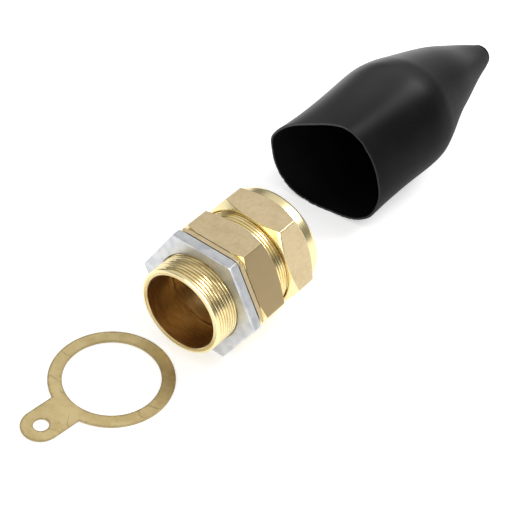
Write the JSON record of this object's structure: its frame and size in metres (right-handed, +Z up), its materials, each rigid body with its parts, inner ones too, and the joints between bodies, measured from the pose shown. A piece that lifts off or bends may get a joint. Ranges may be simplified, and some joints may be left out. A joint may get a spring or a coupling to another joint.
{
  "type": "cable gland",
  "caption": "Brass compression gland for steel-wire armoured cable, with a zinc-plated locknut, a flat earth tag and a soft black shroud laid out in line.",
  "frame": {"origin": "middle of the entry mouth, on the gland's axis", "axes": "+Y along the gland's axis from the entry mouth towards the cable side, +Z up from the surface that the kit lies on"},
  "size_m": [0.0704, 0.3201, 0.059],
  "materials": {
    "zinc_plate": "bright zinc plate",
    "turned_brass": "satin milled flats and polished threads",
    "bore_brass": "turned, dull",
    "sheet_brass": "rolled sheet, lightly brushed",
    "seal_rubber": "matt",
    "nylon": "natural nylon",
    "black_pvc": "soft sheen"
  },
  "bodies": {
    "locknut": {"locknut": "zinc_plate"},
    "armour_cone": {"armour_cone": "bore_brass"},
    "entry_component": {"entry_component": "turned_brass"},
    "clamping_ring": {"clamping_ring": "bore_brass"},
    "gland_body": {"gland_body": "turned_brass", "outer_seal": "seal_rubber"},
    "skid_washer": {"skid_washer": "nylon"},
    "back_nut": {"back_nut": "turned_brass"},
    "earth_tag": {"earth_tag": "sheet_brass"},
    "shroud": {"shroud": "black_pvc"}
  },
  "joints": [
    {"name": "locknut_thread_travel", "type": "slide", "parent": "locknut", "child": "armour_cone", "axis": [0, 1, 0], "range_m": [-0.00076, 0.01501]},
    {"name": "locknut_thread_turn", "type": "hinge", "parent": "armour_cone", "child": "entry_component", "pos_m": [0, 0.014, 0], "axis": [0, 1, 0], "range_deg": [-180, 3600]},
    {"name": "body_thread_travel", "type": "slide", "parent": "entry_component", "child": "clamping_ring", "axis": [0, 1, 0], "range_m": [-0.00001, 0.00601]},
    {"name": "body_thread_turn", "type": "hinge", "parent": "clamping_ring", "child": "gland_body", "pos_m": [0, 0.026, 0], "axis": [0, 1, 0], "range_deg": [0, 1440]},
    {"name": "back_nut_thread_travel", "type": "slide", "parent": "gland_body", "child": "skid_washer", "axis": [0, 1, 0], "range_m": [-0.00301, 0.00751]},
    {"name": "back_nut_thread_turn", "type": "hinge", "parent": "skid_washer", "child": "back_nut", "pos_m": [0, 0.046, 0], "axis": [0, 1, 0], "range_deg": [-720, 1800]},
    {"name": "tag_lift", "type": "slide", "parent": "locknut", "child": "earth_tag", "axis": [0, 0, 1], "range_m": [0, 0.08]},
    {"name": "shroud_push", "type": "slide", "parent": "locknut", "child": "shroud", "axis": [-0.1013, 0.9949, 0], "range_m": [-0.0523, 0]}
  ],
  "couplings": [
    {"joint": "locknut_thread_travel", "follows": "locknut_thread_turn", "m_per_rad": 0.00023873},
    {"joint": "body_thread_travel", "follows": "body_thread_turn", "m_per_rad": 0.00023873},
    {"joint": "back_nut_thread_travel", "follows": "back_nut_thread_turn", "m_per_rad": 0.00023873}
  ]
}
